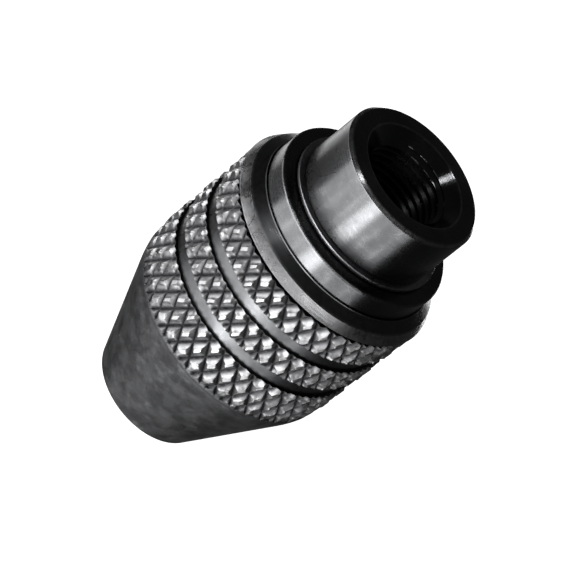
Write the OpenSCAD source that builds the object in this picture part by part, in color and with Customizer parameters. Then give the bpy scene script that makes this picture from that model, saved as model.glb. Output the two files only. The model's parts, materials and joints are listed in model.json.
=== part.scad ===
// Keyless drill chuck for a rotary tool: three jaws slide in slanting holes of a one-piece
// body, and a split nut inside a knurled sleeve draws them along. The spindle screws into
// the boss at the top. The nose points down and the jaws stand open.
// Frame: +Z runs up the spindle axis, and the origin is the middle of the nose face. Millimetres.

/* [Sleeve] */
// Diameter over the knurl crests
sleeve_d = 20; // [19.6:0.1:21]
// Diameter of the nose where the cone would meet its flat face
nose_d = 10.4; // [10.2:0.1:11]
// Half angle of the nose cone, in degrees
nose_angle = 22.5; // [21:0.5:23]
// Radius that rolls the cone into the knurled barrel
shoulder_r = 9.8; // [6:0.1:12]
// Depth of the grooves turned between the knurl bands
band_groove_depth = 0.55; // [0.3:0.05:0.6]
// Width of each groove between two knurl bands
band_groove_w = 1.3; // [0.8:0.1:1.6]

/* [Spindle boss] */
// Overall length, from the nose face to the spindle face
overall_l = 33.4; // [33:0.1:36]
// Diameter of the boss
boss_d = 13.3; // [12.8:0.1:13.5]
// Nominal diameter of the spindle thread
thread_d = 8; // [7:0.5:8]
// Pitch of the spindle thread
thread_pitch = 0.75; // [0.5:0.25:1]
// Depth of the threaded hole below the spindle face
thread_depth = 10.6; // [8:0.1:11]

/* [Jaws] */
// Diameter of each round jaw
jaw_d = 3; // [2.8:0.1:3]
// Tilt of each jaw from the spindle axis, in degrees
jaw_angle = 13; // [12:0.5:13]
// Space between the jaws when they are fully open
open_d = 3.5; // [3.4:0.05:3.6]
// Largest bit that the hole behind the jaws takes, with its clearance
bit_bore_d = 3.3; // [3.2:0.05:3.4]
// Advance of the jaws for each turn of the sleeve
nut_pitch = 1.2; // [1:0.05:1.3]

/* [Bearing] */
// Diameter of the bearing balls
ball_d = 1; // [0.9:0.02:1.02]
// Number of bearing balls
ball_count = 24; // [18:1:30]

/* [Hidden] */
$fn = 96;
eps = 0.01;
far = 40;
jaw_count = 3;

// Radial clearances
run_gap = 0.05;    // a shaft or a jaw in its hole
turn_gap = 0.1;    // the sleeve round the body
shell_gap = 0.15;  // the body's cone inside the sleeve's cone

// Sleeve, from the nose upwards
sleeve_r = sleeve_d / 2;
nose_r = nose_d / 2;
nose_slope = tan(nose_angle);
nose_edge_r = 0.5;
nose_bore_r = 4.3;
nose_bore_l = 2;
shoulder_z = (sleeve_r - nose_r) / nose_slope;
seat_z = 10.5;     // where the nut stands on the sleeve's inner shoulder
seat_r = 8.45;
rim_z = 23.75;     // the knurl ends and the rim's chamfer starts
rim_l = 0.84;
rim_inset = 0.45;
back_l = 0.7;      // the flatter bevel behind the rim
back_inset = 0.93;
lip_h = 0.11;      // small step that ends the bevel, round the sleeve's mouth
lip_w = 0.1;
mouth_chamfer = 0.07;
relief_w = 0.39;   // thin deep groove between the last knurl band and the rim
relief_depth = 0.85;
band_groove_zs = [15.95, 19.85];
groove_floor_r = sleeve_r - band_groove_depth;

// Nut, bearing and thrust ring, stacked on the seat
nut_h = 4;
nut_r = 8;
nut_top = seat_z + nut_h;
race_t = 0.3;
race_ri = 7.1;
race_ro = 8.35;
ball_gap = 0.01;
ball_z = nut_top + race_t + ball_d / 2 + ball_gap;
ball_pitch_r = (race_ri + race_ro) / 2;
rear_race_z = nut_top + race_t + ball_d + 2 * ball_gap;
thrust_z = rear_race_z + race_t;
thrust_top = 20.7;
thrust_r = 8.3;
cage_t = 0.4;
ball_play = 0.05;

// Body and boss
pilot_z = 0.5;
pilot_r = nose_bore_r - turn_gap;
pilot_edge = 0.25;
waist_r = 7;
core_r = 5.2;
boss_r = boss_d / 2;
boss_edge = 0.35;
thread_minor_r = (thread_d - 1.0825 * thread_pitch) / 2;
thread_z = overall_l - thread_depth;
mouth_r = 4.9;
drill_point = 1.2;
bit_bore_r = bit_bore_d / 2;

// Collar pressed into the sleeve behind the thrust ring
collar_z = thrust_top + turn_gap;
collar_top = 27.35;
collar_ri = boss_r + shell_gap;
collar_edge = 0.3;
collar_lip = 0.22;

// Snap ring in a groove of the boss, just above the collar
clip_z = collar_top + turn_gap;
clip_t = 0.35;
clip_ri = 6.3;
clip_ro = 7.2;
clip_groove_r = 6.28;
clip_mouth = 1.6;

// Jaws: their places are those of the open chuck
jaw_r = jaw_d / 2;
jaw_tip_z = 0.8;
jaw_rear_z = 19.4;
grip_cut = 1.4;
land_half = 0.17;
jaw_slope = tan(jaw_angle);
jaw_half = jaw_r / cos(jaw_angle);
jaw_tip_c = open_d / 2 - grip_cut + jaw_half;
bevel_r = 2.85;
tooth_depth = 0.4;
tooth_crest = 0.08;
tooth_z0 = 8.9;
tooth_step = nut_pitch * cos(jaw_angle);
tooth_count = floor((jaw_rear_z - tooth_z0) / tooth_step) + 1;

// Radius of the middle line of a jaw at height z
function jaw_line(z) = jaw_tip_c + (z - jaw_tip_z) * jaw_slope;
// Radius of the crests of the jaw teeth at height z
function crest_line(z) = jaw_line(z) + jaw_half - tooth_crest;
// Points of an arc from angle a to angle b
function arc(centre, r, a, b, steps = 8) =
    [for (i = [0:steps]) centre + r * [cos(a + (b - a) * i / steps), sin(a + (b - a) * i / steps)]];
// One turned groove cut into an outline that runs upwards
function groove_points(z, w, floor_r) =
    [[sleeve_r, z - w / 2], [floor_r, z - w / 2], [floor_r, z + w / 2], [sleeve_r, z + w / 2]];

module turned(points) {
    rotate_extrude() polygon(points);
}

module ring(ri, ro, z, h) {
    translate([0, 0, z]) difference() {
        cylinder(r = ro, h = h);
        translate([0, 0, -eps]) cylinder(r = ri, h = h + 2 * eps);
    }
}

// Everything on one side of the plane where the nut is split
module half_space(side) {
    translate([side > 0 ? 0 : -far, -far / 2, -eps]) cube([far, far, far]);
}

// The line of jaw k, as a round bar of radius r that runs from height z0 to z1
module jaw_bar(r, z0, z1) {
    translate([jaw_line(z0), 0, z0]) rotate([0, jaw_angle, 0])
        cylinder(r = r, h = (z1 - z0) / cos(jaw_angle));
}

module each_jaw_place() {
    for (k = [0:jaw_count - 1]) rotate([0, 0, jaw_turn(k)]) children();
}

function jaw_turn(k) = 90 + k * 360 / jaw_count;

// Height at which the body's cone, a little inside the sleeve's, reaches radius r
function body_cone(r) = nose_bore_l + (r - nose_bore_r + shell_gap) / nose_slope;

module chuck_body() {
    color([0.13, 0.13, 0.14]) difference() {
        turned([[0, pilot_z], [pilot_r - pilot_edge, pilot_z], [pilot_r, pilot_z + pilot_edge],
                [pilot_r, body_cone(pilot_r)], [waist_r, body_cone(waist_r)],
                [waist_r, seat_z - turn_gap], [core_r, seat_z - turn_gap],
                [core_r, nut_top + eps], [waist_r, nut_top + eps], [waist_r, thrust_z],
                [thrust_r, thrust_z], [thrust_r, thrust_top], [boss_r, thrust_top],
                [boss_r, clip_z - eps], [clip_groove_r, clip_z - eps],
                [clip_groove_r, clip_z + clip_t + eps], [boss_r, clip_z + clip_t + eps],
                [boss_r, overall_l - boss_edge], [boss_r - boss_edge, overall_l], [0, overall_l]]);
        each_jaw_place() jaw_bar(jaw_r + run_gap, -3, jaw_rear_z + 0.7);
        translate([0, 0, -1]) cylinder(r = bit_bore_r, h = thread_z + 1);
        turned([[0, thread_z - drill_point], [thread_minor_r, thread_z],
                [thread_minor_r, overall_l - (mouth_r - thread_minor_r)],
                [mouth_r + eps, overall_l + eps], [0, overall_l + eps]]);
    }
}

// Space outside the teeth of a jaw; its inner edge is the row of teeth
module tooth_space(phase) {
    turned(concat(
        [[far / 2, tooth_z0 - 1], [crest_line(tooth_z0 - 1) + 1, tooth_z0 - 1],
         [crest_line(tooth_z0), tooth_z0]],
        [for (i = [0:tooth_count]) each tooth_points(tooth_z0 + (i + phase) * tooth_step, -tooth_depth)],
        [[far / 2, tooth_z0 + (tooth_count + 2) * tooth_step]]));
}

// A V of the given depth across the line of crests; it starts and ends on that line
function tooth_points(z, depth) =
    [[crest_line(z + 0.12 * tooth_step), z + 0.12 * tooth_step],
     [crest_line(z + 0.5 * tooth_step) + depth, z + 0.5 * tooth_step],
     [crest_line(z + 0.88 * tooth_step), z + 0.88 * tooth_step]];

module jaw(k) {
    reach = 6;
    rotate([0, 0, jaw_turn(k)]) color([0.42, 0.42, 0.43]) difference() {
        intersection() {
            jaw_bar(jaw_r, -3, jaw_rear_z);
            translate([open_d / 2, 0, jaw_tip_z]) linear_extrude(height = far)
                polygon([[0, -land_half], [reach, -land_half - reach * tan(60)],
                         [reach, land_half + reach * tan(60)], [0, land_half]]);
        }
        tooth_space(k / jaw_count);
        turned([[bevel_r, jaw_tip_z - eps], [bevel_r + 1.2, jaw_tip_z + 1.2],
                [far / 2, jaw_tip_z + 1.2], [far / 2, jaw_tip_z - eps]]);
    }
}

module nut_half(side) {
    lift = tooth_crest + run_gap;
    thread_turns = ceil(nut_h / tooth_step);
    color([0.32, 0.31, 0.29]) difference() {
        ring(core_r + 0.2, nut_r, seat_z, nut_h);
        turned(concat(
            [[0, seat_z - eps], [crest_line(seat_z - eps) + lift, seat_z - eps]],
            [for (i = [0:thread_turns - 1], p = tooth_points(seat_z + i * tooth_step, tooth_depth))
                if (p[1] < nut_top) p + [lift, 0]],
            [[crest_line(nut_top + eps) + lift, nut_top + eps], [0, nut_top + eps]]));
        half_space(-side);
    }
}

module nut_band() {
    color([0.55, 0.55, 0.56]) ring(nut_r, seat_r, seat_z, nut_h);
}

module race(z) {
    color([0.7, 0.7, 0.72]) ring(race_ri, race_ro, z, race_t);
}

module each_ball_place() {
    for (i = [0:ball_count - 1]) rotate([0, 0, i * 360 / ball_count])
        translate([ball_pitch_r, 0, ball_z]) children();
}

module bearing_balls() {
    color([0.8, 0.8, 0.82]) each_ball_place() sphere(r = ball_d / 2, $fn = 32);
}

module ball_cage() {
    color([0.72, 0.58, 0.3]) difference() {
        ring(waist_r + run_gap, seat_r - run_gap, ball_z - cage_t / 2, cage_t);
        each_ball_place() cylinder(r = ball_d / 2 + ball_play, h = ball_d, center = true);
    }
}

module sleeve() {
    edge_reach = nose_edge_r / tan((90 + nose_angle) / 2);
    shoulder_reach = shoulder_r * tan(nose_angle / 2);
    cone_in_r = nose_bore_r + (seat_z - nose_bore_l) * nose_slope;
    lip_r = sleeve_r - rim_inset - back_inset;
    sleeve_top = rim_z + rim_l + back_l + lip_h;
    color([0.2, 0.2, 0.21]) turned(concat(
        [[nose_bore_r + 0.2, 0]],
        arc([nose_r - edge_reach, nose_edge_r], nose_edge_r, -90, -nose_angle),
        arc([sleeve_r - shoulder_r, shoulder_z + shoulder_reach], shoulder_r, -nose_angle, 0, 12),
        [for (z = band_groove_zs) each groove_points(z, band_groove_w, groove_floor_r)],
        groove_points(rim_z - relief_w / 2, relief_w, sleeve_r - relief_depth),
        [[sleeve_r - rim_inset, rim_z + rim_l],
         [lip_r, sleeve_top - lip_h], [lip_r, sleeve_top], [lip_r - lip_w, sleeve_top],
         [seat_r, sleeve_top - mouth_chamfer],
         [seat_r, seat_z], [cone_in_r, seat_z], [nose_bore_r, nose_bore_l], [nose_bore_r, 0.2]]));
}

module rear_collar() {
    color([0.24, 0.24, 0.25]) turned(concat(
        [[collar_ri, collar_z], [seat_r - 0.2, collar_z], [seat_r, collar_z + 0.2]],
        arc([seat_r - collar_edge, collar_top - collar_edge], collar_edge, 0, 90, 4),
        [[collar_ri + collar_lip, collar_top], [collar_ri, collar_top - collar_lip]]));
}

module retaining_ring() {
    color([0.6, 0.6, 0.6]) difference() {
        ring(clip_ri, clip_ro, clip_z, clip_t);
        translate([-clip_mouth / 2, 0, clip_z - eps]) cube([clip_mouth, far, clip_t + 2 * eps]);
    }
}

chuck_body();
jaw(0);  // jaw_1
jaw(1);  // jaw_2
jaw(2);  // jaw_3
nut_half(1);  // nut_half_a
nut_half(-1);  // nut_half_b
nut_band();
race(nut_top);  // front_race
bearing_balls();
ball_cage();
race(rear_race_z);  // rear_race
sleeve();
rear_collar();
retaining_ring();
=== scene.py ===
# %% [markdown]
# # A keyless drill chuck
# The chuck screws on a spindle at its top end, and three jaws slide out of its nose when the
# knurled sleeve is turned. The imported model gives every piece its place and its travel. This
# lesson gives the pieces that are seen their finer shape, and every piece its finish.

# %% Load the frame
import json
import math
import bmesh
import bpy
from mathutils import Matrix, Quaternion, Vector

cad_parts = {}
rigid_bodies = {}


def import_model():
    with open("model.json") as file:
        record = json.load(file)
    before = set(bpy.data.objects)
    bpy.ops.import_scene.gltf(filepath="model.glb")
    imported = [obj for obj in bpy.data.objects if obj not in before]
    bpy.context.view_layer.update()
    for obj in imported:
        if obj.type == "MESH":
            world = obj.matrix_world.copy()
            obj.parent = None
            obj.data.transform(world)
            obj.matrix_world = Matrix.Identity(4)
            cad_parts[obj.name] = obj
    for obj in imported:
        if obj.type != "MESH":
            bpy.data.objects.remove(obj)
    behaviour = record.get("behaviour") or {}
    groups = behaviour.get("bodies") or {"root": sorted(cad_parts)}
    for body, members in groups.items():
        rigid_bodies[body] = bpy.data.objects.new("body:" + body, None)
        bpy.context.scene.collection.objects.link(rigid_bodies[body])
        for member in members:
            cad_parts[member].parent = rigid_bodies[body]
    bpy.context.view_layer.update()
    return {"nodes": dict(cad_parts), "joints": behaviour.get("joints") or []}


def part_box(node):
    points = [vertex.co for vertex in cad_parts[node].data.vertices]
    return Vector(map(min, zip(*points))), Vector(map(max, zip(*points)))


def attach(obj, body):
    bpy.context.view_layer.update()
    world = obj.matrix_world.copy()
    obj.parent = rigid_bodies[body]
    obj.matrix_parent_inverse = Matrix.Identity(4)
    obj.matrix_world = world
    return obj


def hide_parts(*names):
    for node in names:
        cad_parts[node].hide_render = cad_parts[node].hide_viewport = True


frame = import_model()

MM = 0.001
print("nodes:", ", ".join(sorted(frame["nodes"])))

# %% [markdown]
# ## Sums written as Python
# Node trees for shapes and finishes are long when each Math node is placed by hand. A small
# class wraps a socket, so that `1 - mask * 0.5` adds the nodes it needs. The same class serves
# geometry trees and shader trees, because both have the same Math node.


# %% Wrap a socket
class Value:
    """An output socket that Python's operators can be used on."""

    def __init__(self, net, socket):
        self.net = net
        self.socket = socket

    def __add__(self, other):
        return self.net.math("ADD", self, other)

    def __radd__(self, other):
        return self.net.math("ADD", other, self)

    def __sub__(self, other):
        return self.net.math("SUBTRACT", self, other)

    def __rsub__(self, other):
        return self.net.math("SUBTRACT", other, self)

    def __mul__(self, other):
        return self.net.math("MULTIPLY", self, other)

    def __rmul__(self, other):
        return self.net.math("MULTIPLY", other, self)

    def __truediv__(self, other):
        return self.net.math("DIVIDE", self, other)


# %% Build node trees
class Net:
    """Adds nodes to a tree, each from its type, its settings and the values of its sockets."""

    def __init__(self, tree):
        self.tree = tree
        self.maths = "ShaderNodeMath"

    def node(self, kind, settings=None, sockets=None, out=0):
        made = self.tree.nodes.new(kind)
        for name, setting in (settings or {}).items():
            setattr(made, name, setting)
        for name, value in (sockets or {}).items():
            self.feed(made.inputs[name], value)
        return Value(self, made.outputs[out]) if made.outputs else made

    def feed(self, socket, value):
        if isinstance(value, Value):
            self.tree.links.new(value.socket, socket)
        else:
            socket.default_value = value

    def math(self, operation, *terms):
        return self.node(self.maths, {"operation": operation}, dict(enumerate(terms)))

    def ramp(self, value, low, high, to_low=0.0, to_high=1.0):
        """A smooth step from to_low to to_high as value goes from low to high."""
        sockets = {0: value, 1: low, 2: high, 3: to_low, 4: to_high}
        return self.node("ShaderNodeMapRange", {"interpolation_type": "SMOOTHSTEP"}, sockets)

    def several(self, kind, settings=None, sockets=None):
        """A node's outputs by name."""
        first = self.node(kind, settings, sockets)
        return {o.name: Value(self, o) for o in first.socket.node.outputs}


# %% [markdown]
# ## Turned shapes
# Most of a chuck comes off a lathe, so its pieces are outlines carried round the spindle axis.
# Real turned corners are broken by a file or a small radius, and that is what catches the
# light. So each outline first has its corners rounded.

# %% Round an outline
SOFT_CORNER = 0.06  # mm, a corner broken by the deburring pass
EDGE_SHARE = 0.45  # the most of an edge that a corner's curve takes
NEARLY_STRAIGHT = math.radians(4)  # a bend smaller than this is left as it is


def rounded(points, radius=SOFT_CORNER, steps=3):
    """A closed outline of (r, z) in mm, with a small curve of the given radius at each corner.

    A third number in a point is that corner's own radius.
    """
    outline = []
    for i, point in enumerate(points):
        here = Vector(point[:2])
        back = Vector(points[i - 1][:2]) - here
        ahead = Vector(points[(i + 1) % len(points)][:2]) - here
        size = point[2] if len(point) > 2 else radius
        turn = back.angle(ahead)
        reach = min(size / math.tan(turn / 2), back.length * EDGE_SHARE, ahead.length * EDGE_SHARE)
        if size == 0 or math.pi - turn < NEARLY_STRAIGHT:
            outline.append(tuple(here))
            continue
        start, end = here + back.normalized() * reach, here + ahead.normalized() * reach
        for s in range(steps + 1):
            t = s / steps
            bend = start * (1 - t) ** 2 + here * 2 * t * (1 - t) + end * t**2
            outline.append(tuple(bend))
    return outline


def arc(centre, radius, start, end, steps):
    """Points (r, z) from angle start to angle end, in degrees."""
    angles = [math.radians(start + (end - start) * i / steps) for i in range(steps + 1)]
    return [(centre[0] + radius * math.cos(a), centre[1] + radius * math.sin(a)) for a in angles]


# %% Carry an outline round the axis
SAME_PLACE = 1e-7  # metres; points nearer than this are one
SHARP = 30  # degrees; an edge that bends more than this stays sharp


def in_scene(name, mesh, work):
    """An object in the scene whose mesh is written from work, with normals outward."""
    bmesh.ops.recalc_face_normals(work, faces=work.faces)
    work.to_mesh(mesh)
    work.free()
    made = bpy.data.objects.new(name, mesh)
    bpy.context.scene.collection.objects.link(made)
    return made


def mesh_object(name, vertices, faces):
    """A new object from vertices in metres, with doubles merged."""
    mesh = bpy.data.meshes.new(name)
    mesh.from_pydata(vertices, [], faces)
    work = bmesh.new()
    work.from_mesh(mesh)
    bmesh.ops.remove_doubles(work, verts=work.verts, dist=SAME_PLACE)
    bmesh.ops.dissolve_degenerate(work, dist=SAME_PLACE, edges=work.edges)
    return in_scene(name, mesh, work)


def off_axis(r, z, angle):
    """The point in metres at radius r and height z in mm, at an angle round the axis."""
    return (r * math.cos(angle) * MM, r * math.sin(angle) * MM, z * MM)


def turned(name, outline, sides, start=0.0, sweep=2 * math.pi, left_open=()):
    """A piece turned from a closed outline.

    left_open lists the outline's edges, by first point, that get no faces.
    """
    whole = abs(sweep - 2 * math.pi) < 1e-9
    columns = sides if whole else sides + 1
    vertices = [
        off_axis(r, z, start + sweep * c / sides) for c in range(columns) for r, z in outline
    ]
    n = len(outline)
    faces = []
    for c in range(sides):
        d = (c + 1) % columns
        for i in range(n):
            if i not in left_open:
                j = (i + 1) % n
                faces.append((c * n + i, d * n + i, d * n + j, c * n + j))
    if not whole:
        faces += [tuple(range(n)), tuple(range((columns - 1) * n, columns * n))]
    return mesh_object(name, vertices, faces)


def smooth(piece, angle=SHARP):
    """Shades a piece smooth, and keeps edges sharper than the angle."""
    piece.data.shade_smooth()
    piece.data.set_sharp_from_angle(angle=math.radians(angle))
    return piece


def count(piece):
    """Triangles in a piece."""
    piece.data.calc_loop_triangles()
    return len(piece.data.loop_triangles)


# %% [markdown]
# ## The sleeve
# The sleeve is one turned shell with three bands of diamond knurl. Diamond knurling is two
# families of V grooves rolled on opposite helices, so the height at any place is the lower of
# two zigzags. The pattern repeats a whole number of times round the sleeve. So one repeat is
# worked out as a narrow sector, from the nose to the rim and back down the bore, and a
# Geometry Nodes tree copies it round the axis.

# %% Sizes of the sleeve
SLEEVE_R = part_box("sleeve")[1].x / MM
REPEATS = 38  # knurl ridges of one family round the sleeve
KNURL_DEPTH = 0.5
KNURL_FLAT = 1 / 5  # share of a ridge's height that is left blunt
NOTCH = 1.5  # how much steeper the second family's grooves are, so they read as notches
KNURL_STEPS = 20  # mesh steps in one repeat, both ways
KNURL_PITCH = 2.6  # mm along the axis
STEP_Z = KNURL_PITCH / KNURL_STEPS
RUN_OUT = 11.4  # mm, height below which the knurl's grooves get shallower
RUN_OUT_L = 0.45
GROOVE_W = 1.3
HALF_W = GROOVE_W / 2
GROOVE_R = SLEEVE_R - 0.55
GROOVES = (15.95, 19.85)  # mm, middle heights of the two turned grooves
KNURL_START = GROOVES[0] - HALF_W - 34 * STEP_Z
RIM_Z = 23.75
RIM_TOP = RIM_Z + 0.84
RIM_TOP_R = SLEEVE_R - 0.45
RELIEF_W = 4 * STEP_Z  # thin deep groove between the last band and the rim
RELIEF_R = SLEEVE_R - 0.85
LIP_R, MOUTH_EDGE_R = SLEEVE_R - 1.38, SLEEVE_R - 1.48  # the small raised lip round the mouth
SEAT_R, SEAT_Z = 8.45, 10.5  # the bore that holds the nut and the collar, and its floor
NOSE_SLANT = 22.5  # degrees
NOSE_SLOPE = math.tan(math.radians(NOSE_SLANT))
NOSE_R, NOSE_EDGE_R = 5.2, 0.5
NOSE_BORE_R, NOSE_BORE_TOP = 4.3, 2.0
INNER_CONE_R = 3.47  # where the inner cone would meet the height of the nose's tip
SHOULDER_R = 9.8
SHOULDER = (
    SLEEVE_R - SHOULDER_R,
    (SLEEVE_R - NOSE_R) / NOSE_SLOPE + SHOULDER_R * math.tan(math.radians(NOSE_SLANT / 2)),
)
SMOOTH_STEPS = 4  # mesh steps across a sector where the sleeve is plain


# %% Height of the knurl
BAND_ENDS = tuple(z + s * HALF_W for z in GROOVES for s in (-1, 1))
EDGE_REACH = 2 * STEP_Z  # the turned grooves' edges are broken over this height
EDGE_DROP = 0.14  # mm taken off the ridges there
EDGE_FILL = 0.6  # share of the knurl's depth that is pressed shut there


def zigzag(x):
    """0 in the bottom of a groove and 1 on the ridge between two."""
    return 2 * abs(x - round(x))


def knurl_r(u, z):
    """Radius of the knurled surface, with u from 0 to 1 across a repeat."""
    v = (z - GROOVES[0]) / KNURL_PITCH
    ridge = min(zigzag(u + v) * NOTCH, zigzag(u - v)) / (1 - KNURL_FLAT)
    fade = max(0.0, (RUN_OUT - z) / RUN_OUT_L) * KNURL_DEPTH
    at_end = max(0.0, 1 - min(abs(z - end) for end in BAND_ENDS) / EDGE_REACH)
    depth = KNURL_DEPTH * (1 - EDGE_FILL * at_end)
    rolled = SLEEVE_R - depth * (1 - min(1.0, ridge)) - EDGE_DROP * at_end + fade
    drop = z - SHOULDER[1]
    plain = SHOULDER[0] + math.sqrt(SHOULDER_R**2 - drop**2) if drop < 0 else SLEEVE_R
    return min(plain, rolled)


# %% One sector of the sleeve
class Sector:
    """Rows of points across one repeat, joined one after another."""

    def __init__(self):
        self.vertices, self.faces, self.last, self.first = [], [], None, None

    def row(self, radii, z, knurled=False):
        start = len(self.vertices)
        steps = len(radii) - 1
        for i, r in enumerate(radii):
            self.vertices.append(off_axis(r, z, 2 * math.pi / REPEATS * i / steps))
        new = list(range(start, start + len(radii)))
        self.join(self.last, new, knurled)
        self.first = self.first or new
        self.last = new

    def join(self, low, high, knurled=False):
        """Faces between two rows. In a knurled part they are split along ridges and grooves."""
        if low is None:
            return
        if len(low) != len(high):
            self.faces.append((*low, *reversed(high)))
            return
        j = round((self.vertices[high[0]][2] / MM - GROOVES[0]) / STEP_Z)
        half = KNURL_STEPS // 2
        for i in range(len(low) - 1):
            a, b, c, d = low[i], low[i + 1], high[i + 1], high[i]
            if not knurled:
                self.faces.append((a, b, c, d))
            elif (i + j) % half == 0:
                self.faces += [(a, b, d), (b, c, d)]
            else:
                self.faces += [(a, b, c), (a, c, d)]


def plain_rows(sector, outline):
    for r, z in outline:
        sector.row([r] * (SMOOTH_STEPS + 1), z)


def knurled_rows(sector, low, high):
    for s in range(round((high - low) / STEP_Z) + 1):
        z = low + s * STEP_Z
        sector.row([knurl_r(i / KNURL_STEPS, z) for i in range(KNURL_STEPS + 1)], z, s > 0)


sector = Sector()
edge = NOSE_EDGE_R / math.tan(math.radians((90 + NOSE_SLANT) / 2))
nose = [(NOSE_BORE_R, 0.2), (NOSE_BORE_R + 0.2, 0.0)]
nose += arc((NOSE_R - edge, NOSE_EDGE_R), NOSE_EDGE_R, -90, -NOSE_SLANT, 8)
blend_start = math.degrees(math.asin((KNURL_START - SHOULDER[1]) / SHOULDER_R))
shoulder = arc(SHOULDER, SHOULDER_R, -NOSE_SLANT, blend_start, 5)
plain_rows(sector, nose + shoulder[:-1])
knurled_rows(sector, KNURL_START, GROOVES[0] - HALF_W)
for below, above in ((GROOVES[0], GROOVES[1] - HALF_W), (GROOVES[1], RIM_Z - RELIEF_W)):
    plain_rows(sector, [(GROOVE_R, below - HALF_W), (GROOVE_R, below + HALF_W)])
    knurled_rows(sector, below + HALF_W, above)
rim = rounded(
    [
        (SLEEVE_R, RIM_Z, 0.04), (RIM_TOP_R, RIM_TOP, 0.04),
        (LIP_R, RIM_TOP + 0.7, 0.02), (LIP_R, RIM_TOP + 0.81, 0.02),
        (MOUTH_EDGE_R, RIM_TOP + 0.81, 0.02), (SEAT_R, RIM_TOP + 0.74, 0.02), (SEAT_R, SEAT_Z, 0),
        (INNER_CONE_R + SEAT_Z * NOSE_SLOPE, SEAT_Z), (NOSE_BORE_R, NOSE_BORE_TOP),
    ]
)
plain_rows(sector, [(RELIEF_R, RIM_Z - RELIEF_W), (RELIEF_R, RIM_Z)] + rim)
sector.join(sector.last, sector.first)
tile = mesh_object("sleeve_sector", sector.vertices, sector.faces)
print("sector:", count(tile), "triangles")


# %% [markdown]
# The tree below stands the sector at as many points as there are repeats, turns each copy by
# its own share of the circle, and melts them into one shell. A rolled knurl is never quite
# even, so a little noise moves the ridges inward and sideways. It leaves the plain turned
# faces and the edges of the two grooves alone.


# %% Trees for shapes
class ShapeNet(Net):
    """A Geometry Nodes tree with named inputs, which ends in realized, finished geometry."""

    def __init__(self, name, inputs):
        super().__init__(bpy.data.node_groups.new(name, "GeometryNodeTree"))
        face = self.tree.interface
        face.new_socket("Geometry", in_out="INPUT", socket_type="NodeSocketGeometry")
        for label, (kind, value) in inputs.items():
            made = face.new_socket(label, in_out="INPUT", socket_type="NodeSocket" + kind)
            if value is not None:
                made.default_value = value
        face.new_socket("Geometry", in_out="OUTPUT", socket_type="NodeSocketGeometry")
        entry = self.tree.nodes.new("NodeGroupInput")
        self.given = {o.name: Value(self, o) for o in entry.outputs if o.name}

    def end(self, geometry, material):
        real = self.node("GeometryNodeRealizeInstances", sockets={"Geometry": geometry})
        welded = {"Geometry": real, "Distance": 10 * SAME_PLACE}
        merged = self.node("GeometryNodeMergeByDistance", sockets=welded)
        done = self.node("GeometryNodeSetMaterial", sockets={"Geometry": merged, "Material": material})
        leave = self.tree.nodes.new("NodeGroupOutput")
        self.tree.links.new(done.socket, leave.inputs[0])


def grown(name, base, net, values):
    """The plain mesh that a tree makes from base, with its named inputs set. base is used up."""
    modifier = base.modifiers.new("grow", "NODES")
    modifier.node_group = net.tree
    for item in net.tree.interface.items_tree:
        if item.in_out == "INPUT" and item.name in values:
            modifier[item.identifier] = values[item.name]
    ready = base.evaluated_get(bpy.context.evaluated_depsgraph_get())
    mesh = bpy.data.meshes.new_from_object(ready)
    mesh.name = name
    bpy.data.objects.remove(base)
    work = bmesh.new()
    work.from_mesh(mesh)
    return in_scene(name, mesh, work)


# %% The tree that repeats a sector
def repeat_tree():
    net = ShapeNet(
        "repeat_round_axis",
        {
            "Repeats": ("Int", REPEATS),
            "Unevenness": ("Float", 0.0),
            "Wander": ("Float", 0.0),
            "Material": ("Material", None),
        },
    )
    given = net.given
    points = net.node("GeometryNodePoints", sockets={"Count": given["Repeats"]})
    number = net.node("GeometryNodeInputIndex")
    turn = net.node(
        "FunctionNodeAxisAngleToRotation",
        sockets={"Axis": (0, 0, 1), "Angle": number * (2 * math.pi) / given["Repeats"]},
    )
    copies = net.node(
        "GeometryNodeInstanceOnPoints",
        sockets={"Points": points, "Instance": given["Geometry"], "Rotation": turn},
    )
    shell = net.node("GeometryNodeRealizeInstances", sockets={"Geometry": copies})
    place = net.node("GeometryNodeInputPosition")
    part = net.several("ShaderNodeSeparateXYZ", sockets={"Vector": place})
    radius = net.math("SQRT", part["X"] * part["X"] + part["Y"] * part["Y"])
    ridge = net.ramp(radius, (SLEEVE_R - 0.45) * MM, (SLEEVE_R - 0.1) * MM)
    banded = net.math("LESS_THAN", part["Z"], (RIM_Z - RELIEF_W + 0.01) * MM)
    banded = banded * net.math("GREATER_THAN", part["Z"], (KNURL_START + 0.3) * MM)
    bumps = {"Vector": place, "Scale": 900.0, "Detail": 2.0}
    inward = given["Unevenness"] * (net.node("ShaderNodeTexNoise", sockets=bumps) - 1.0)
    sideways, upward = (
        given["Wander"] * (net.node(
            "ShaderNodeTexNoise",
            {"noise_dimensions": "4D"},
            {"Vector": place, "W": seed, "Scale": 700.0, "Detail": 1.0},
        ) - 0.5)
        for seed in (3.0, 8.0)
    )
    from_end = 1.0  # a metre, farther than any end
    for end in BAND_ENDS:
        from_end = net.math("MINIMUM", from_end, net.math("ABSOLUTE", part["Z"] - end * MM))
    east, north = part["X"] / radius, part["Y"] / radius
    worn = ridge * banded * net.ramp(from_end, 0.05 * MM, 0.45 * MM)
    shift = net.node(
        "ShaderNodeCombineXYZ",
        sockets={
            "X": worn * (east * inward - north * sideways),
            "Y": worn * (north * inward + east * sideways),
            "Z": worn * upward,
        },
    )
    moved = net.node("GeometryNodeSetPosition", sockets={"Geometry": shell, "Offset": shift})
    net.end(moved, given["Material"])
    return net


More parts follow.
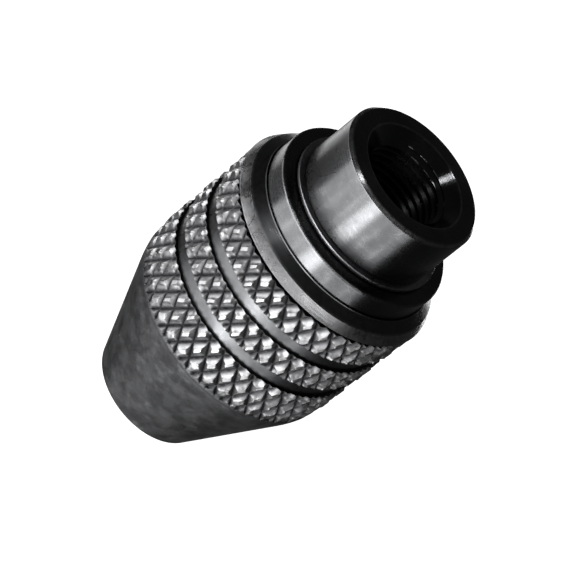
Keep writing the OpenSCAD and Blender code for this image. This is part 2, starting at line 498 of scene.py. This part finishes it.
sleeve = grown(
    "knurled_sleeve",
    tile,
    repeat_tree(),
    {
        "Repeats": REPEATS,
        "Unevenness": 0.14 * MM,
        "Wander": 0.4 * MM,
        "Material": bpy.data.materials["sleeve_black_steel"],
    },
)
smooth(sleeve, 24)
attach(sleeve, "clamping_sleeve")
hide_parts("sleeve")
print("sleeve:", count(sleeve), "triangles")


# %% [markdown]
# ## The spindle thread
# A spindle screws into the boss, so the socket carries a real helical thread. The thread is one
# strip: its outline across a single pitch, carried up the helix. Each turn of the strip shares
# an edge with the turn below, so melting doubles closes the wall. Where the strip meets the
# countersink the wider of the two surfaces wins, as it does when a tap cuts through one.

# %% The tree that winds a thread
SIDES = 96
THREAD_PITCH = 0.75
THREAD_MINOR, THREAD_MAJOR = 3.594, 4.0
THREAD_STEPS = 16  # mesh steps across one pitch
CUT_MIDDLE, CUT_HALF, FLANK = 0.625, 0.375, 0.3125  # the thread's groove, as shares of a pitch
RUN_IN = (0.3, 1.6)  # pitches above the foot between which the groove gets its full depth
SOCKET_FOOT = 22.8
MOUTH_R = 4.9
BODY_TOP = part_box("chuck_body")[1].z / MM
JOIN_R = 4.25  # radius in the countersink where the thread's strip ends
JOIN_Z = BODY_TOP - (MOUTH_R - JOIN_R)


def thread_tree():
    net = ShapeNet(
        "wind_thread",
        {
            "Pitch": ("Float", 0.00075),
            "Minor radius": ("Float", 0.0036),
            "Depth": ("Float", 0.0004),
            "Foot": ("Float", 0.0),
            "Top": ("Float", 0.01),
            "Top radius": ("Float", 0.004),
            "Turns": ("Int", 12),
            "Sides": ("Int", SIDES),
            "Material": ("Material", None),
        },
    )
    given = net.given
    strip = net.node(
        "GeometryNodeMeshGrid",
        sockets={
            "Size X": given["Turns"],
            "Size Y": 1.0,
            "Vertices X": given["Turns"] * given["Sides"] + 1,
            "Vertices Y": THREAD_STEPS + 1,
        },
    )
    place = net.several("ShaderNodeSeparateXYZ", sockets={"Vector": net.node("GeometryNodeInputPosition")})
    turns = place["X"] + given["Turns"] / 2
    share = place["Y"] + 0.5
    free_z = given["Foot"] + given["Pitch"] * (turns + share - 1)
    z = net.math("MINIMUM", net.math("MAXIMUM", free_z, given["Foot"]), given["Top"])
    groove = (CUT_HALF - net.math("ABSOLUTE", share - CUT_MIDDLE)) / FLANK
    groove = net.math("MINIMUM", net.math("MAXIMUM", groove, 0.0), 1.0)
    run_in = net.ramp(z, *(given["Foot"] + given["Pitch"] * pitches for pitches in RUN_IN))
    cut_r = given["Minor radius"] + given["Depth"] * groove * run_in
    radius = net.math("MAXIMUM", cut_r, given["Top radius"] + z - given["Top"])
    angle = turns * (2 * math.pi)
    spot = net.node(
        "ShaderNodeCombineXYZ",
        sockets={"X": radius * net.math("COSINE", angle), "Y": radius * net.math("SINE", angle), "Z": z},
    )
    moved = net.node("GeometryNodeSetPosition", sockets={"Geometry": strip, "Position": spot})
    net.end(moved, given["Material"])
    return net


thread = grown(
    "thread_wall",
    mesh_object("thread_seed", [(0, 0, 0)], []),
    thread_tree(),
    {
        "Pitch": THREAD_PITCH * MM,
        "Minor radius": THREAD_MINOR * MM,
        "Depth": (THREAD_MAJOR - THREAD_MINOR) * MM,
        "Foot": SOCKET_FOOT * MM,
        "Top": JOIN_Z * MM,
        "Top radius": JOIN_R * MM,
        "Turns": math.ceil((JOIN_Z - SOCKET_FOOT) / THREAD_PITCH) + 1,
        "Sides": SIDES,
        "Material": bpy.data.materials["body_black_steel"],
    },
)
print("thread:", count(thread), "triangles")

# %% [markdown]
# ## The body
# The body is turned, then drilled three times at the jaws' slant. The outline leaves out the
# socket wall, the wound thread is welded in there, and the three slanting holes are cut last.
# Their directions are those of the jaws' own slides.

# %% Turn and drill the body
BIT_R = 1.65
PILOT_R, PILOT_FOOT = 4.2, 0.5  # the end that runs in the nose's bore
CORE_R, WAIST_R, FLANGE_R, BOSS_R = 7.0, 5.2, 8.3, 6.65
WAIST_FOOT, WAIST_TOP = 10.4, 14.51
FLANGE_FOOT, FLANGE_TOP = 16.12, 20.7
CLIP_Z, CLIP_TOP = (v.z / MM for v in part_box("retaining_ring"))
CLIP_GROOVE_R, CLIP_PLAY = 6.28, 0.01
TOP_CHAMFER = 0.3
SOCKET_CORNER = (3.6, 31.9)  # holds the place of the thread's wall while corners are rounded
BORE_TOP = 22.15  # the bit's bore widens into the socket here
JAW_HOLE_R = 1.55
JAW_TIP_LINE = 1.889  # mm from the axis to a jaw's middle line, at the height below
JAW_TIP_Z = 0.8
JAW_HOLE_TOP = 20.1
DRILL_START = 5  # mm past the jaw's tip, well outside the body
body_points = [
    (BIT_R, PILOT_FOOT, 0.05), (PILOT_R - 0.25, PILOT_FOOT, 0.05), (PILOT_R, PILOT_FOOT + 0.25, 0.05),
    (PILOT_R, 2.12), (CORE_R, 8.88), (CORE_R, WAIST_FOOT), (WAIST_R, WAIST_FOOT),
    (WAIST_R, WAIST_TOP), (CORE_R, WAIST_TOP), (CORE_R, FLANGE_FOOT), (FLANGE_R, FLANGE_FOOT),
    (FLANGE_R, FLANGE_TOP), (BOSS_R, FLANGE_TOP), (BOSS_R, CLIP_Z - CLIP_PLAY),
    (CLIP_GROOVE_R, CLIP_Z - CLIP_PLAY), (CLIP_GROOVE_R, CLIP_TOP + CLIP_PLAY),
    (BOSS_R, CLIP_TOP + CLIP_PLAY), (BOSS_R, BODY_TOP - TOP_CHAMFER, 0.12),
    (BOSS_R - TOP_CHAMFER, BODY_TOP, 0.12), (MOUTH_R, BODY_TOP, 0.1),
    (*SOCKET_CORNER, 0), (BIT_R, BORE_TOP, 0.05),
]
body_line = rounded(body_points)
cut = body_line.index(next(p for p in body_line if abs(p[0] - SOCKET_CORNER[0]) < 1e-6))
body_line[cut : cut + 1] = [(JOIN_R, JOIN_Z), (THREAD_MINOR, SOCKET_FOOT)]
blank = turned("body_blank", body_line, SIDES, left_open=(cut,))


def joined(name, *parts):
    """One object from several, with shared rings welded."""
    work = bmesh.new()
    for part in parts:
        work.from_mesh(part.data)
        bpy.data.objects.remove(part)
    bmesh.ops.remove_doubles(work, verts=work.verts, dist=20 * SAME_PLACE)
    return in_scene(name, bpy.data.meshes.new(name), work)


def drilled(piece, cutters):
    """piece with the cutters taken away, as a plain mesh."""
    for cutter in cutters:
        cut_away = piece.modifiers.new("drill", "BOOLEAN")
        cut_away.operation, cut_away.solver, cut_away.object = "DIFFERENCE", "EXACT", cutter
    ready = piece.evaluated_get(bpy.context.evaluated_depsgraph_get())
    mesh = bpy.data.meshes.new_from_object(ready)
    mesh.name = piece.name
    piece.modifiers.clear()
    piece.data = mesh
    for cutter in cutters:
        bpy.data.objects.remove(cutter)
    return piece


def slanting_drill(slide):
    """A cutter along a jaw's slide axis, from below the nose to the blind end of its hole."""
    down = Vector(slide["axis"]).normalized()
    flat = Vector((-down.x, -down.y, 0)).normalized()
    tip = flat * JAW_TIP_LINE * MM + Vector((0, 0, JAW_TIP_Z * MM))
    end = tip - down * ((JAW_HOLE_TOP - JAW_TIP_Z) / -down.z) * MM
    start = tip + down * DRILL_START * MM
    length = (end - start).length / MM
    drill = turned("drill", [(0, 0), (JAW_HOLE_R, 0), (JAW_HOLE_R, length), (0, length)], 64)
    upright_to_slant = (-down).to_track_quat("Z", "Y").to_matrix().to_4x4()
    drill.data.transform(Matrix.Translation(start) @ upright_to_slant)
    return drill


def coated(piece, slot):
    """The piece, smooth and with its slot's material alone."""
    piece.data.materials.clear()
    piece.data.materials.append(bpy.data.materials[slot])
    return smooth(piece)


slides = [j for j in frame["joints"] if j["type"] == "slide"]
body = drilled(joined("turned_body", blank, thread), [slanting_drill(s) for s in slides])
coated(body, "body_black_steel")
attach(body, "body")
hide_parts("chuck_body")
print("body:", count(body), "triangles")

# %% [markdown]
# ## The collar and the snap ring
# The collar is a plain turned ring pressed into the back of the sleeve. The snap ring is a
# ring with a gap, sprung into the groove of the boss, and it is turned through less than a
# full circle.

# %% Turn the collar and the snap ring
COLLAR_FOOT, COLLAR_TOP = (v.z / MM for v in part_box("rear_collar"))
COLLAR_BORE_R, COLLAR_CHAMFER = 6.8, 0.2
COLLAR_SIDES = 144
collar_points = [
    (COLLAR_BORE_R, COLLAR_FOOT), (SEAT_R - COLLAR_CHAMFER, COLLAR_FOOT),
    (SEAT_R, COLLAR_FOOT + COLLAR_CHAMFER), (SEAT_R, COLLAR_TOP, 0.3),
    (COLLAR_BORE_R, COLLAR_TOP, 0.2),
]
collar = turned("turned_collar", rounded(collar_points, steps=5), COLLAR_SIDES)
coated(collar, "collar_black_steel")
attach(collar, "clamping_sleeve")
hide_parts("rear_collar")

RING_IN_R, RING_OUT_R = 6.3, 7.2
RING_GAP = 1.6  # mm between the ring's two ends
half_gap = math.asin(RING_GAP / (RING_IN_R + RING_OUT_R))
ring_points = [(RING_IN_R, CLIP_Z), (RING_OUT_R, CLIP_Z), (RING_OUT_R, CLIP_TOP), (RING_IN_R, CLIP_TOP)]
ring = turned(
    "snap_ring", rounded(ring_points, 0.09), 120, math.pi / 2 + half_gap, 2 * (math.pi - half_gap)
)
coated(ring, "spring_steel")
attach(ring, "body")
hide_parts("retaining_ring")
print("collar and ring:", count(collar), count(ring), "triangles")

# %% [markdown]
# ## Finishes
# All the pieces are metal, and each finish is built from a few masks. A mask says where a
# surface is worn, oily or turned, or where shade is painted into its colour. Places are read in
# millimetres from the piece's own coordinates, so a pattern stays on the piece when the sleeve
# turns. Turning marks run round the axis because their noise depends on radius and height, and
# hardly on the angle.


# %% The finish class
class Finish(Net):
    """A metal finish under the name of its slot."""

    def __init__(self, name):
        super().__init__(bpy.data.materials[name].node_tree)
        self.tree.nodes.clear()
        own = self.node("ShaderNodeTexCoord", out="Object")
        self.place = self.node("ShaderNodeVectorMath", {"operation": "SCALE"}, {0: own, "Scale": 1 / MM})
        part = self.several("ShaderNodeSeparateXYZ", sockets={"Vector": self.place})
        self.x, self.y, self.z = part["X"], part["Y"], part["Z"]
        self.r = self.math("SQRT", self.x * self.x + self.y * self.y)

    def clouds(self, size, low=0.35, high=0.65, detail=3.0):
        """Soft patches about size mm across."""
        noise = self.node(
            "ShaderNodeTexNoise", sockets={"Vector": self.place, "Scale": 1 / size, "Detail": detail}
        )
        return self.ramp(noise, low, high)

    def turning(self, size, low=0.3, high=0.7):
        """Tool marks about size mm apart, which run round the axis."""
        along = self.node(
            "ShaderNodeCombineXYZ",
            sockets={"X": self.r + self.x * 0.01, "Y": self.y * 0.02, "Z": self.z},
        )
        noise = self.node("ShaderNodeTexNoise", sockets={"Vector": along, "Scale": 1 / size, "Detail": 2.0})
        return self.ramp(noise, low, high)

    def scuffs(self, size, share=0.1):
        """Sparse fine scratches: the thin level lines of a stretched noise."""
        skewed = self.node(
            "ShaderNodeMapping",
            {"vector_type": "POINT"},
            {"Vector": self.place, "Rotation": (0.5, 0.3, 0.9), "Scale": (1.0, 0.16, 1.0)},
        )
        noise = self.node("ShaderNodeTexNoise", sockets={"Vector": skewed, "Scale": 1 / size, "Detail": 1.0})
        return self.ramp(self.math("ABSOLUTE", noise - 0.5), 0.0, share * 0.1, 1.0, 0.0)

    def near(self, value, middle, reach):
        """1 where value is at middle, falling to 0 at reach away from it."""
        return self.ramp(self.math("ABSOLUTE", value - middle), 0.0, reach, 1.0, 0.0)

    def most(self, first, *others):
        for other in others:
            first = self.math("MAXIMUM", first, other)
        return first

    def mix(self, share, first, second):
        """Between two colours, or between a colour and an earlier mix."""
        sockets = {0: share, 6: first, 7: second}
        return self.node("ShaderNodeMix", {"data_type": "RGBA"}, sockets, out=2)

    def end(self, colour, roughness, height, depth, turned_sheen=0.0):
        """Closes the tree. height runs from 0 to 1 over depth mm.

        turned_sheen draws highlights out across the turning marks.
        """
        normal = self.node("ShaderNodeBump", sockets={"Distance": depth * MM, "Height": height})
        shader = self.node(
            "ShaderNodeBsdfPrincipled",
            sockets={
                "Base Color": colour,
                "Roughness": roughness,
                "Metallic": 1.0,
                "Anisotropic": turned_sheen,
                "Anisotropic Rotation": 0.25,
                "Normal": normal,
            },
        )
        self.node("ShaderNodeOutputMaterial", sockets={"Surface": shader})


# %% [markdown]
# The outside is steel blackened in a hot salt bath. The black coat is thinnest on the knurl's
# crests and on turned edges, where a hand rubs it back to grey steel. The bottoms of the knurl
# are darkened for oil and dust and also as painted shade. The thin relief groove under the rim
# and soft patches on the nose cone are darkened as painted shade.

# %% Black steel
BLACK = (0.053, 0.054, 0.0555, 1)
# The darkest tone below serves for the coat's uneven patches, and for painted shade in the knurl's bottoms,
# in the relief groove and on the nose cone.
SOOT_AND_SHADE = (0.012, 0.012, 0.013, 1)
GREY = (0.20, 0.20, 0.205, 1)
CREST = (0.13, 0.13, 0.13, 1)
TURNED_SHEEN = 0.8
PATCHY = 0.6  # how strong the coat's uneven patches are on the smooth pieces


def black_steel(name, roughness, wear, polish=None):
    """Blackened steel. wear(net) and polish(net) give the masks of rubbed and of smooth places."""
    net = Finish(name)
    patches, marks, scuffs = net.clouds(2.4), net.turning(0.09), net.scuffs(3.0)
    colour = net.mix(patches * 0.25, BLACK, SOOT_AND_SHADE)
    colour = net.mix(net.clouds(0.5, 0.5, 0.75) * 0.1 * PATCHY, colour, GREY)
    colour = net.mix(wear(net) * (0.55 + 0.45 * net.clouds(0.7)), colour, GREY)
    rough = roughness + patches * 0.06 * PATCHY + net.clouds(0.35) * 0.03
    rough = rough - marks * 0.03 - scuffs * 0.06
    if polish:
        rough = rough - polish(net) * 0.13
    height = marks * 0.7 + net.turning(0.3) * 0.3
    height = height + net.clouds(0.15, 0.3, 0.7) * 0.2 * PATCHY - scuffs * 0.2
    net.end(colour, rough, height, 0.0035, TURNED_SHEEN)


def boss_wear(net):
    """The boss's chamfered top edge and the edge of its countersink."""
    top_edge = net.near(net.z, BODY_TOP - 0.12, 0.3) * net.near(net.r, BOSS_R - 0.1, 0.35)
    mouth_edge = net.near(net.z, BODY_TOP, 0.12) * net.near(net.r, MOUTH_R, 0.15)
    return net.most(top_edge, mouth_edge * 0.8)


def collar_wear(net):
    """The collar's outer top edge."""
    return net.near(net.z, COLLAR_TOP - 0.1, 0.3) * net.near(net.r, SEAT_R - 0.07, 0.2) * 0.3


def countersink(net):
    """The cone of the socket's mouth."""
    inside = net.math("LESS_THAN", net.r, MOUTH_R + 0.05)
    return inside * net.math("GREATER_THAN", net.z, BODY_TOP - 1.4)


black_steel("body_black_steel", 0.27, boss_wear, countersink)
black_steel("collar_black_steel", 0.25, collar_wear)


# %% Knurled black steel
OUTSIDE_R = 8.9  # mm; the knurl and the grooves are farther from the axis than this
BEVEL_IN_R = 9.4
CONE_FADE = (10.5, 12.0)  # mm, heights between which the nose's finish gives way to the knurl's


def knurled_steel():
    net = Finish("sleeve_black_steel")
    relief_z = RIM_Z - RELIEF_W - 0.03
    banded = net.math("GREATER_THAN", net.z, KNURL_START) * net.math("LESS_THAN", net.z, relief_z)
    # The thin relief groove under the rim is painted black as painted shade.
    relief_shade = net.math("GREATER_THAN", net.z, relief_z) * net.math("LESS_THAN", net.z, RIM_Z - 0.01)
    for middle in GROOVES:
        off = net.math("ABSOLUTE", net.z - middle)
        banded = banded * net.math("GREATER_THAN", off, HALF_W + 0.01)
    banded = banded * net.math("GREATER_THAN", net.r, OUTSIDE_R)
    crest = banded * net.ramp(net.r, SLEEVE_R - 0.30, SLEEVE_R - 0.08)
    # The knurl's bottoms: oil and dust, and painted shade in the hollows.
    pit_dirt_and_shade = banded * net.ramp(net.r, SLEEVE_R - 0.45, SLEEVE_R - 0.20, 1.0, 0.0)
    patches, marks, scuffs = net.clouds(2.2), net.turning(0.09), net.scuffs(2.5)
    grain, fine = net.clouds(0.4), net.clouds(0.12)
    cone = net.ramp(net.z, *CONE_FADE, 1.0, 0.0)
    rim_edge = net.near(net.z, RIM_TOP, 0.2) * net.near(net.r, RIM_TOP_R, 0.25)
    bevel = net.ramp(net.z, RIM_Z - 0.05, RIM_Z + 0.05)
    bevel = bevel * net.ramp(net.z, RIM_TOP - 0.06, RIM_TOP + 0.02, 1.0, 0.0)
    bevel = bevel * net.math("GREATER_THAN", net.r, BEVEL_IN_R)
    nose_edge = net.near(net.z, 0.05, 0.35) * net.near(net.r, NOSE_R - 0.1, 0.5)
    colour = net.mix(patches * 0.45, BLACK, SOOT_AND_SHADE)
    colour = net.mix(cone * net.clouds(0.9, 0.5, 0.7, 6.0) * 0.14, colour, GREY)
    # Painted shade: the nose cone is darkened towards the darkest tone in soft uneven patches.
    colour = net.mix(cone * net.clouds(1.5, 0.42, 0.62, 7.0) * 0.6, colour, SOOT_AND_SHADE)
    colour = net.mix(bevel * (0.5 + 0.15 * grain), colour, GREY)
    rubbed = net.ramp(net.z + 0.5 * net.clouds(0.8), KNURL_START + 0.7, KNURL_START + 1.2)
    colour = net.mix(rubbed * banded * (0.35 + 0.35 * grain), colour, GREY)
    colour = net.mix(rubbed * crest * (0.2 + 0.3 * grain), colour, CREST)
    colour = net.mix(net.most(rim_edge, nose_edge) * (0.3 + 0.2 * grain), colour, GREY)
    # Oil and dust plus painted shade: the knurl's bottoms and the relief groove go to the darkest tone.
    colour = net.mix(net.most(pit_dirt_and_shade * (0.8 + 0.2 * grain), relief_shade), colour, SOOT_AND_SHADE)
    rough = 0.27 + patches * 0.08 + grain * 0.05 + cone * 0.12 + banded * 0.02
    rough = rough + pit_dirt_and_shade * 0.2 + relief_shade * 0.15 - scuffs * 0.06 - bevel * 0.06
    plain = 1.0 - banded
    height = plain * marks * 0.6 + fine * 0.3 + (cone + banded) * net.clouds(0.3) * 0.6 - scuffs * 0.2
    net.end(colour, rough, height, 0.004)


knurled_steel()

# %% [markdown]
# The pieces inside are bare. The jaws are ground lengthwise and their tips are polished by use.
# The nut is cut and left with its oil. The races and balls are hardened and polished, and the
# cage that spaces the balls is brass.


# %% Bare metals
TIP_FADE = (2.5, 5.0)  # mm, heights between which the polish of the jaws' tips ends


def bare_metal(name, tone, dark, roughness, mark_size, depth, polish=0.0):
    """Uncoated metal with turning marks, thin stains of oil and fine scuffs.

    The marks are mark_size mm apart and depth mm deep. polish makes a jaw's tip smoother.
    """
    net = Finish(name)
    stains, marks, scuffs = net.clouds(1.6), net.turning(mark_size), net.scuffs(1.8)
    colour = net.mix(stains * 0.45, tone, dark)
    colour = net.mix(net.clouds(0.3, 0.55, 0.75) * 0.5, colour, dark)
    worn = net.ramp(net.z, *TIP_FADE, polish, 0.0) if polish else 0.0
    rough = roughness + stains * 0.1 + net.clouds(0.25) * 0.05 - scuffs * 0.08 - worn
    height = marks * 0.7 + net.clouds(0.1) * 0.3 - scuffs * 0.4
    net.end(colour, rough, height, depth)


bare_metal("jaw_steel", (0.40, 0.40, 0.41, 1), (0.16, 0.15, 0.14, 1), 0.32, 0.10, 0.004, 0.12)
bare_metal("nut_steel", (0.30, 0.30, 0.30, 1), (0.11, 0.10, 0.09, 1), 0.34, 0.14, 0.005)
bare_metal("band_steel", (0.34, 0.34, 0.35, 1), (0.15, 0.15, 0.15, 1), 0.28, 0.12, 0.003)
bare_metal("race_steel", (0.52, 0.52, 0.53, 1), (0.28, 0.28, 0.28, 1), 0.16, 0.06, 0.001)
bare_metal("ball_steel", (0.60, 0.60, 0.61, 1), (0.40, 0.40, 0.41, 1), 0.08, 0.05, 0.0005)
bare_metal("cage_brass", (0.62, 0.43, 0.18, 1), (0.34, 0.22, 0.08, 1), 0.26, 0.10, 0.003)
bare_metal("spring_steel", (0.20, 0.20, 0.21, 1), (0.06, 0.06, 0.06, 1), 0.26, 0.08, 0.003)
print("finishes:", ", ".join(m.name for m in bpy.data.materials if m.users))

# %% [markdown]
# ## Floor, lights and camera
# The chuck stands on its nose on a pale table of frosted acrylic, the kind that small goods are
# photographed on. Black steel shows only what it reflects. The camera looks down on the chuck,
# so the chuck's sides mirror the space below the table top. That is where most of its lamps
# are: a narrow bright strip on the camera's side, with broad soft panels round it. Higher up
# there are only three low lamps for the rim's bevel and one small glint, so the faces that
# look up stay black.

# %% Table
TABLE_SIZE = 6  # metres
bpy.ops.mesh.primitive_plane_add(size=TABLE_SIZE, location=(0, 0, 0))
table_top = bpy.context.object
table_top.name = "table_top"
acrylic = bpy.data.materials.new("frosted_acrylic")
acrylic.use_nodes = True
acrylic.node_tree.nodes.clear()
glow = Net(acrylic.node_tree)
sheen = glow.node(
    "ShaderNodeBsdfPrincipled",
    sockets={
        "Base Color": (0.9, 0.9, 0.9, 1),
        "Roughness": 0.9,
        "Emission Color": (1, 1, 1, 1),
        "Emission Strength": 1.0,
    },
)
glow.node("ShaderNodeOutputMaterial", sockets={"Surface": sheen})
table_top.data.materials.append(acrylic)
# Mirror rays and shadow rays pass the table top, so the lamps below it reach the chuck.
table_top.visible_glossy = False
table_top.visible_shadow = False

# %% Lamps
LAMP_AWAY = 0.6  # metres from the chuck
CENTRE = Vector((0, 0, 17.25 * MM))


def soft_panel(name, azimuth, elevation, width, height, radiance):
    """A lit panel that faces the chuck, with its place and size as angles seen from the chuck.

    Azimuth 0 is the camera's side and 90 is +X.
    """
    a, e = math.radians(azimuth), math.radians(elevation)
    away = Vector((math.sin(a) * math.cos(e), -math.cos(a) * math.cos(e), math.sin(e)))
    lamp = bpy.data.lights.new(name, "AREA")
    lamp.shape = "RECTANGLE"
    lamp.size = 2 * LAMP_AWAY * math.tan(math.radians(width / 2))
    lamp.size_y = 2 * LAMP_AWAY * math.tan(math.radians(height / 2))
    lamp.energy = 4 * lamp.size * lamp.size_y * radiance
    stand = bpy.data.objects.new(name, lamp)
    stand.location = CENTRE + away * LAMP_AWAY
    stand.rotation_euler = away.to_track_quat("Z", "Y").to_euler()
    stand.visible_camera = False
    bpy.context.scene.collection.objects.link(stand)


LAMPS = (  # name, azimuth, elevation, width and height in degrees, radiance
    ("strip", 0, -33, 18, 40, 9.4),
    ("strip_top", 0, -9, 16, 12, 12.0),
    ("panel_0", -58, -32, 26, 45, 4.8),
    ("panel_1", -34, -32, 24, 45, 4.2),
    ("panel_2", -10, -32, 24, 45, 4.2),
    ("panel_3", 14, -32, 24, 45, 4.6),
    ("panel_4", 38, -32, 24, 36, 4.6),
    ("panel_5", 56, -32, 14, 36, 3.8),
    ("side_0", -97, -13, 34, 18, 2.8),
    ("side_1", -62, -4, 34, 18, 8.6),
    ("side_2", -28, -4, 34, 18, 10.2),
    ("rim_light_0", -26, 19, 34, 10, 2.0),
    ("rim_light_1", 8, 21, 34, 10, 5.2),
    ("rim_light_2", 42, 21, 34, 10, 4.4),
    ("back_left", -138, -26, 30, 18, 1.6),
    ("back", 178, -15, 34, 22, 3.5),
    ("under", 0, -90, 40, 40, 0.5),
    ("glint", -54, 50, 8, 8, 24.0),
)
for lamp_values in LAMPS:
    soft_panel(*lamp_values)

world = bpy.data.worlds.new("dim_room")
bpy.context.scene.world = world
world.use_nodes = True
world.node_tree.nodes["Background"].inputs["Color"].default_value = (0.05, 0.05, 0.05, 1)

# %% Camera
CAMERA_DOWN = 34.5  # degrees below the horizon that the camera looks
CAMERA_ROLL = 51.1
CAMERA_AWAY = 0.404  # metres from the chuck
eye = bpy.data.cameras.new("camera")
eye.lens = 312.5
eye.shift_x, eye.shift_y = 0.0071, -0.0113
camera = bpy.data.objects.new("camera", eye)
down = math.radians(CAMERA_DOWN)
back = Vector((0, -math.cos(down), math.sin(down)))
camera.location = CENTRE + back * CAMERA_AWAY
camera.rotation_mode = "QUATERNION"
camera.rotation_quaternion = (-back).to_track_quat("-Z", "Y") @ Quaternion(
    (0, 0, 1), math.radians(CAMERA_ROLL)
)
bpy.context.scene.collection.objects.link(camera)
scene = bpy.context.scene
scene.camera = camera
scene.view_settings.view_transform = "Standard"
